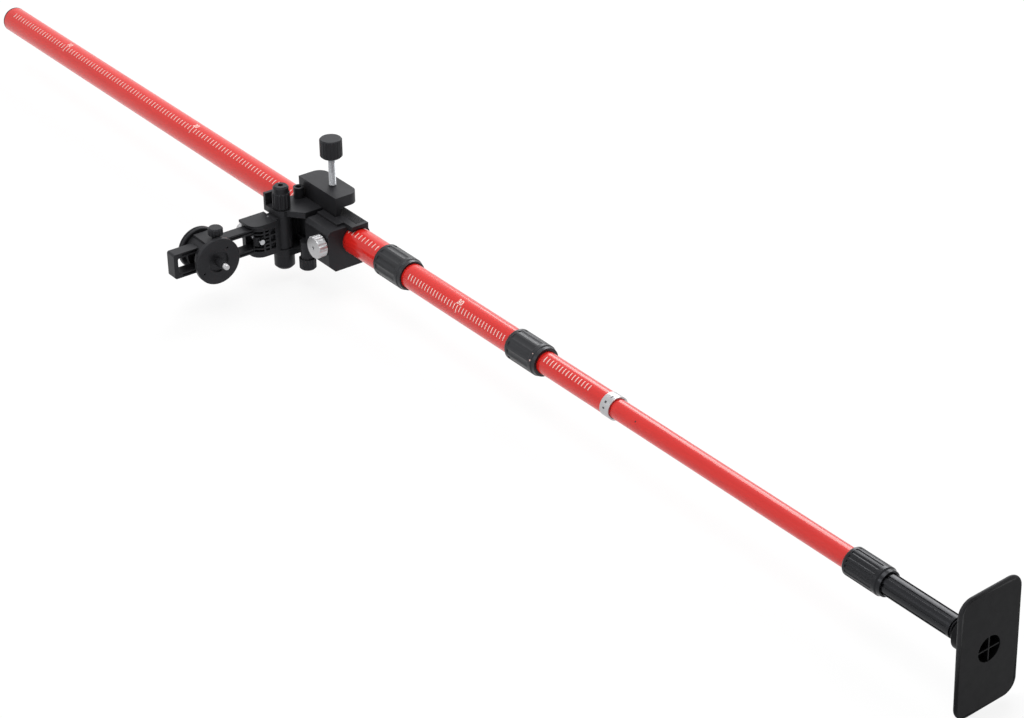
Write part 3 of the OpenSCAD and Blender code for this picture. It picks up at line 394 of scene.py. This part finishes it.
class Paint:
    """A node material under construction, in the frame's own coordinates."""

    def __init__(self, name):
        self.material = bpy.data.materials.new(name)
        self.material.use_nodes = True
        self.tree = self.material.node_tree
        self.shader = self.tree.nodes["Principled BSDF"]
        self.place = self.tree.nodes.new("ShaderNodeTexCoord").outputs["Object"]

    def link(self, source, target):
        """Joins two sockets."""
        self.tree.links.new(source, target)

    def set(self, **values):
        """Sets the shader's plain values; an underscore in a name stands for a space."""
        for key, value in values.items():
            self.shader.inputs[key.replace("_", " ")].default_value = value

    def math(self, operation, first, second=0.0):
        """A number worked out from one or two others, each a number or a socket."""
        return maths(self.tree, operation, first, second)

    def noise(self, scale, detail=3.0, stretch=(1, 1, 1), rough=0.55):
        """A noise of so many cells to the metre."""
        spread = self.tree.nodes.new("ShaderNodeMapping")
        spread.inputs["Scale"].default_value = stretch
        self.link(self.place, spread.inputs["Vector"])
        grain = self.tree.nodes.new("ShaderNodeTexNoise")
        grain.inputs["Scale"].default_value = scale
        grain.inputs["Detail"].default_value = detail
        grain.inputs["Roughness"].default_value = rough
        self.link(spread.outputs[0], grain.inputs["Vector"])
        return grain.outputs["Fac"]

    def ramp(self, value, low, high, from_low=0.3, from_high=0.7):
        """Maps a value, by default the middle of a noise, to a range of numbers."""
        return map_range(self.tree, value, from_low, from_high, low, high).outputs["Result"]

    def mix(self, share, first, second):
        """A colour between two, each a colour or a socket."""
        blend = self.tree.nodes.new("ShaderNodeMix")
        blend.data_type = "RGBA"
        self.link(share, blend.inputs["Factor"])
        for key, colour in (("A", first), ("B", second)):
            slot = [s for s in blend.inputs if s.name == key and s.type == "RGBA"][0]
            if isinstance(colour, tuple):
                slot.default_value = (*colour, 1)
            else:
                self.link(colour, slot)
        return [s for s in blend.outputs if s.type == "RGBA"][0]

    def edges(self, radius):
        """Rounded edges in the normal, and a mask of where the edges are."""
        bevel = self.tree.nodes.new("ShaderNodeBevel")
        bevel.samples = EDGE_SAMPLES
        bevel.inputs["Radius"].default_value = radius
        flat = self.tree.nodes.new("ShaderNodeNewGeometry")
        compare = self.tree.nodes.new("ShaderNodeVectorMath")
        compare.operation = "DOT_PRODUCT"
        self.link(bevel.outputs[0], compare.inputs[0])
        self.link(flat.outputs["Normal"], compare.inputs[1])
        mask = self.ramp(compare.outputs["Value"], 1.0, 0.0, EDGE_FULL, EDGE_NONE)
        return bevel.outputs[0], mask

    def bump(self, height, strength, distance, normal=None):
        """A normal with a relief on it."""
        relief = self.tree.nodes.new("ShaderNodeBump")
        relief.inputs["Strength"].default_value = strength
        relief.inputs["Distance"].default_value = distance
        self.link(height, relief.inputs["Height"])
        if normal is not None:
            self.link(normal, relief.inputs["Normal"])
        return relief.outputs[0]

    def finish(self, colour, rough, normal):
        """Joins the shader to its colour, roughness and normal, and gives the material."""
        self.link(colour, self.shader.inputs["Base Color"])
        self.link(rough, self.shader.inputs["Roughness"])
        self.link(normal, self.shader.inputs["Normal"])
        return self.material


def plate_depth(p):
    """How far a point lies inside the ceiling plate's rounded outline."""
    low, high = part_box("ceiling_plate")
    split = p.tree.nodes.new("ShaderNodeSeparateXYZ")
    p.link(p.place, split.inputs[0])
    sides = []
    for axis, start, end in (("Y", low.y, high.y), ("Z", low.z, high.z)):
        off = p.math("ABSOLUTE", p.math("SUBTRACT", split.outputs[axis], (start + end) / 2))
        sides.append(p.math("SUBTRACT", off, (end - start) / 2 - PLATE_CORNER))
    clear = [p.math("MAXIMUM", side, 0) for side in sides]
    squares = [p.math("MULTIPLY", side, side) for side in clear]
    corner = p.math("SQRT", p.math("ADD", *squares))
    flank = p.math("MINIMUM", p.math("MAXIMUM", *sides), 0)
    return p.math("SUBTRACT", PLATE_CORNER, p.math("ADD", corner, flank))


def moulded_plastic(name, colour, worn_and_glint, rough, shine, grain_size, grain, edge, rimmed=False):
    """Black moulded plastic with a fine grain, lighter on its edges and on the plate's rim, partly from wear
    and partly a painted highlight.
    """
    p = Paint(name)
    p.set(Specular_IOR_Level=shine, Specular_Tint=PLASTIC_TINT)
    normal, mask = p.edges(edge)
    patches = p.ramp(p.noise(scale=45, detail=4), low=0.0, high=1.0)
    tone = p.mix(patches, colour, tuple(PLASTIC_PATCHES * c for c in colour))
    # Edges take the lighter worn colour: partly real wear, partly a painted highlight along the edges.
    rubbed_and_glint = p.math("MULTIPLY", mask, p.ramp(p.noise(scale=260), low=0.15, high=0.6))
    tone = p.mix(rubbed_and_glint, tone, worn_and_glint)
    if rimmed:
        rim = p.ramp(plate_depth(p), 1.0, 0.0, RIM_WIDE - RIM_SLOPE / 2, RIM_WIDE + RIM_SLOPE / 2)
        normal = p.bump(rim, strength=1.0, distance=RIM_HIGH, normal=normal)
        # Painted highlight on the rim, partly wear too: a share of the lighter worn colour.
        tone = p.mix(p.math("MULTIPLY", rim, RIM_WEAR_AND_SHEEN), tone, worn_and_glint)
    gloss = p.ramp(p.noise(scale=120), low=rough - 0.03, high=rough + 0.04)
    relief = p.bump(p.noise(1 / grain_size, detail=2), strength=grain, distance=0.1 * MM, normal=normal)
    return p.finish(tone, gloss, relief)


def red_paint():
    """Glossy red coat over drawn tube, with faint streaks and scuffs along the pole."""
    p = Paint("red_paint")
    p.set(Coat_Weight=0.42, Coat_Roughness=0.1, Coat_IOR=1.5, Specular_IOR_Level=0.25)
    streaks = p.ramp(p.noise(scale=160, stretch=(0.03, 1, 1)), low=0.0, high=1.0)
    tone = p.mix(streaks, RED_DEEP, RED_LIGHT)
    scuffs = p.noise(scale=60, detail=4, stretch=(0.12, 1, 1))
    tone = p.mix(p.ramp(scuffs, low=0.0, high=0.3, from_low=0.66, from_high=0.8), tone, RED_SCUFFED)
    gloss = p.ramp(p.noise(scale=40, stretch=(0.15, 1, 1)), low=0.3, high=0.36)
    ripple = p.noise(scale=420, detail=2, stretch=(0.1, 1, 1))
    relief = p.bump(ripple, strength=0.02, distance=0.1 * MM)
    return p.finish(tone, gloss, relief)


def bare_metal(name, colour, rough, stretch, edge):
    """Bright or brushed metal with turning marks and a painted glint on its edges."""
    p = Paint(name)
    p.set(Metallic=1.0)
    normal, mask = p.edges(edge)
    patches = p.ramp(p.noise(scale=60, detail=4), low=0.0, high=1.0)
    tone = p.mix(patches, tuple(METAL_PATCHES * c for c in colour), colour)
    # Painted glint: edges lightened towards near white.
    tone = p.mix(p.math("MULTIPLY", mask, METAL_EDGE_GLINT_SHARE), tone, METAL_EDGE_GLINT)
    lines = p.noise(scale=900, detail=2, stretch=stretch)
    gloss = p.ramp(lines, low=rough - 0.05, high=rough + 0.1)
    relief = p.bump(lines, strength=0.08, distance=0.05 * MM, normal=normal)
    return p.finish(tone, gloss, relief)


def print_white():
    """White scale print, thin enough that a little red shows through."""
    p = Paint("print_white")
    p.set(Specular_IOR_Level=0.5, Coat_Weight=0.3, Coat_Roughness=0.15)
    tone = p.mix(p.ramp(p.noise(scale=500, detail=4), low=0.0, high=1.0), PRINT_WORN, PRINT_FULL)
    gloss = p.ramp(p.noise(scale=300), low=0.35, high=0.5)
    relief = p.bump(p.noise(scale=1200, detail=2), strength=0.1, distance=0.05 * MM)
    return p.finish(tone, gloss, relief)


def make_materials():
    """The materials of the record's slots, by the slot's name, and the print."""
    made = {name: moulded_plastic(name, **look) for name, look in PLASTICS.items()}
    made["red_paint"] = red_paint()
    for name, look in METALS.items():
        made[name] = bare_metal(name, **look)
    made["print_white"] = print_white()
    return made


def dress_nodes(materials):
    """Gives each piece of the frame the material of its slot."""
    for part in frame["record"]["subparts"]:
        mesh = nodes[part["node"]].data
        mesh.materials.clear()
        mesh.materials.append(materials[part["material_slot"]])


# Mesh helpers


def new_piece(name, mesh, body, material):
    """Puts a finished mesh in the scene, riding on a body."""
    mesh.materials.clear()
    mesh.materials.append(material)
    piece = bpy.data.objects.new(name, mesh)
    scene.collection.objects.link(piece)
    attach(piece, body)
    return piece


def mesh_from(bm, name):
    """A mesh of a finished bmesh, its faces turned outward."""
    bmesh.ops.recalc_face_normals(bm, faces=bm.faces)
    mesh = bpy.data.meshes.new(name)
    bm.to_mesh(mesh)
    bm.free()
    return mesh


def join_rings(bm, rings):
    """Joins a row of equal rings of points into one closed skin."""
    for low, high in zip(rings, rings[1:]):
        for i in range(len(low)):
            j = (i + 1) % len(low)
            bm.faces.new((low[i], low[j], high[j], high[i]))
    bm.faces.new(rings[0][::-1])
    bm.faces.new(rings[-1])


def print_radius(node):
    """The radius at which print lies on a round piece of the pole."""
    low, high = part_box(node)
    return (high.z - low.z) / 2 + PRINT_GAP


def on_tube(x, angle, radius):
    """A point on a tube about the pole's axis; the angle runs from +Y towards +Z."""
    return (x, radius * math.cos(angle), radius * math.sin(angle))


# Print


def add_patch(bm, x, wide, start, end, radius, facets):
    """A thin curved bar of print on a tube, between two angles, closed on all sides."""
    x0 = x - wide / 2
    x1 = x + wide / 2
    outer = radius + PRINT_THICK
    rings = []
    for i in range(facets + 1):
        angle = start + (end - start) * i / facets
        spots = ((x0, radius), (x1, radius), (x1, outer), (x0, outer))
        rings.append([bm.verts.new(on_tube(along, angle, r)) for along, r in spots])
    join_rings(bm, rings)


def add_scale(body, angle, start, stop, step, long_ticks, material):
    """A row of ticks along a body's tube, longer where a figure stands."""
    name = f"{body}_scale"
    radius = print_radius(f"{body}_tube")
    half = TICK_LEN / radius / 2
    bm = bmesh.new()
    count = int((stop - start) / step + COUNT_SLACK) + 1
    for i in range(count):
        more = LONG_TICK_MORE / radius if i in long_ticks else 0
        add_patch(bm, start + step * i, TICK_WIDE, angle - half, angle + half + more, radius, TICK_FACETS)
    new_piece(name, mesh_from(bm, name), body, material)


def add_marks(name, node, body, marks, material):
    """Small dabs of print or punch marks on a round piece of the pole."""
    low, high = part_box(node)
    radius = print_radius(node)
    bm = bmesh.new()
    for share, angle, long, wide in marks:
        x = low.x + share * (high.x - low.x)
        half = wide * MM / radius / 2
        add_patch(bm, x, long * MM, angle - half, angle + half, radius, MARK_FACETS)
    new_piece(name, mesh_from(bm, name), body, material)


def flat_figure(name, text):
    """A bmesh of a plain number, flat and centred, with edges short enough to be wrapped on a tube."""
    curve = bpy.data.curves.new(name, "FONT")
    curve.body = text
    curve.size = FIGURE_TALL * LETTER_PER_TALL
    curve.align_x = "CENTER"
    curve.extrude = PRINT_THICK / 2
    curve.offset = FIGURE_BOLD
    flat = bpy.data.objects.new(name + "_flat", curve)
    scene.collection.objects.link(flat)
    bpy.context.view_layer.update()
    mesh = bpy.data.meshes.new_from_object(flat.evaluated_get(bpy.context.evaluated_depsgraph_get()))
    bpy.data.objects.remove(flat)
    bm = bmesh.new()
    bm.from_mesh(mesh)
    bpy.data.meshes.remove(mesh)
    bmesh.ops.triangulate(bm, faces=bm.faces)
    long_edges = [edge for edge in bm.edges if edge.calc_length() > FIGURE_EDGE_MAX]
    bmesh.ops.subdivide_edges(bm, edges=long_edges, cuts=FIGURE_CUTS)
    return bm


def add_figure(name, text, body, x, angle, material):
    """A plain number wrapped on a body's tube beside its scale, its foot towards the ticks."""
    radius = print_radius(f"{body}_tube")
    bm = flat_figure(name, text)
    for vert in bm.verts:
        reach = FIGURE_OFFSET + vert.co.y
        height = radius + vert.co.z + PRINT_THICK / 2
        vert.co = on_tube(x + vert.co.x, angle - reach / radius, height)
    new_piece(name, mesh_from(bm, name), body, material)


# Threads and the spring


def thread_mesh(name, place, radius, length, pitch, depth):
    """A round bar along +Z with a raised spiral thread, its ends bevelled; place puts it in the frame."""
    bm = bmesh.new()
    rows = int(length / pitch * ROWS_PER_PITCH)
    rings = []
    for k in range(rows + 1):
        z = length * k / rows
        near_end = min(z, length - z)
        cut = depth * max(0.0, 1 - near_end / (TAPER_PITCHES * pitch))
        ring = []
        for i in range(THREAD_SIDES):
            angle = TAU * i / THREAD_SIDES
            wave = abs(((z / pitch - i / THREAD_SIDES) % 1.0) * 2 - 1)
            crest = min(1.0, max(0.0, CREST_STEEP * wave - CREST_SHIFT))
            r = min(radius - depth * (1 - crest), radius - cut)
            ring.append(bm.verts.new((r * math.cos(angle), r * math.sin(angle), z)))
        rings.append(ring)
    join_rings(bm, rings)
    bm.transform(place)
    mesh = mesh_from(bm, name)
    mesh.set_sharp_from_angle(angle=SHARP_ANGLE)
    return mesh


def add_stud(material):
    """The instrument stud with its thread, on the plain shaft that carries the disc."""
    low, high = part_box("stud_shaft")
    turn = Matrix.Rotation(math.pi / 2, 4, "Y")
    y = (low.y + high.y) / 2
    z = (low.z + high.z) / 2
    radius = (high.z - low.z) / 2
    place = Matrix.Translation((high.x - STUD_LEN, y, z)) @ turn
    mesh = thread_mesh("stud_thread", place, radius, STUD_LEN, STUD_PITCH, STUD_DEPTH)
    piece = new_piece("stud_thread", mesh, "stud", material)
    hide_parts("stud_shaft")
    shaft_len = high.x - STUD_LEN + SHAFT_PAST - low.x
    bm = bmesh.new()
    bmesh.ops.create_cone(
        bm,
        cap_ends=True,
        segments=SHAFT_SIDES,
        radius1=radius - SHAFT_LESS,
        radius2=radius - SHAFT_LESS,
        depth=shaft_len,
        matrix=Matrix.Translation((low.x + shaft_len / 2, y, z)) @ turn,
    )
    shaft = mesh_from(bm, "stud_bar")
    shaft.set_sharp_from_angle(angle=SHARP_ANGLE)
    new_piece("stud_bar", shaft, "stud", material)


def add_jaw_screw(material):
    """The clamp screw with its thread, in the place of the plain bar."""
    low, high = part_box("jaw_screw")
    place = Matrix.Translation(((low.x + high.x) / 2, (low.y + high.y) / 2, low.z))
    radius = (high.x - low.x) / 2
    mesh = thread_mesh("jaw_screw_thread", place, radius, high.z - low.z, SCREW_PITCH, SCREW_DEPTH)
    piece = new_piece("jaw_screw_thread", mesh, "jaw_lock", material)
    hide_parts("jaw_screw")


def add_spring(material):
    """The push spring inside the third tube, wound finer than its solid."""
    low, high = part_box("push_spring")
    along = Vector((1, 0, 0))
    first = low.x + SPRING_WIRE_R
    last = high.x - SPRING_WIRE_R
    coil_r = (high.z - low.z) / 2 - SPRING_WIRE_R
    count = SPRING_TURNS * SPRING_STEPS
    bm = bmesh.new()
    rings = []
    for k in range(count + 1):
        turn = TAU * k / SPRING_STEPS
        out = Vector((0, math.cos(turn), math.sin(turn)))
        centre = Vector((first + (last - first) * k / count, 0, 0)) + coil_r * out
        ring = []
        for i in range(SPRING_WIRE_SIDES):
            angle = TAU * i / SPRING_WIRE_SIDES
            spoke = math.cos(angle) * out + math.sin(angle) * along
            ring.append(bm.verts.new(centre + SPRING_WIRE_R * spoke))
        rings.append(ring)
    join_rings(bm, rings)
    mesh = mesh_from(bm, "spring_coils")
    mesh.shade_smooth()
    piece = new_piece("spring_coils", mesh, "third", material)
    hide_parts("push_spring")
    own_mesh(piece)


# Building the scene

scene.view_settings.view_transform = "Standard"
add_camera()
add_world()
add_floor()
for lamp in LAMPS:
    add_lamp(*lamp)

materials = make_materials()
dress_nodes(materials)
white = materials["print_white"]

base_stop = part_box("base_lock_collar")[0].x - SCALE_END_GAP
second_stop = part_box("second_lock_collar")[0].x - SCALE_END_GAP
third_stop = THIRD_TICK_START + (THIRD_TICK_COUNT - 0.5) * FINE_TICK_STEP
base_figures = (BASE_FIGURE_TICK, BASE_FIGURE_TICK + TICKS_PER_FIGURE)
second_figures = (SECOND_FIGURE_TICK,)
add_scale("base", BASE_TICK_ANGLE, BASE_TICK_START, base_stop, BASE_TICK_STEP, base_figures, white)
add_scale("second", SECOND_TICK_ANGLE, SECOND_TICK_START, second_stop, FINE_TICK_STEP, second_figures, white)
add_scale("third", THIRD_TICK_ANGLE, THIRD_TICK_START, third_stop, FINE_TICK_STEP, (), white)

for number, tick in enumerate(base_figures, 1):
    figure_x = BASE_TICK_START + tick * BASE_TICK_STEP
    add_figure(f"base_figure_{number}", f"{number}0", "base", figure_x, BASE_TICK_ANGLE, white)
figure_x = SECOND_TICK_START + SECOND_FIGURE_TICK * FINE_TICK_STEP
add_figure("second_figure", "30", "second", figure_x, SECOND_TICK_ANGLE, white)

add_marks("ring_marks", "trim_ring", "third", RING_MARKS, materials["bush_plastic"])
add_marks("collar_marks", "second_lock_collar", "second_collar", COLLAR_MARKS, white)
add_marks("tube_mark", "spring_tube", "spring_stage", TUBE_MARKS, materials["black_plastic"])
add_stud(materials["bright_metal"])
add_jaw_screw(materials["steel"])
add_spring(materials["steel"])
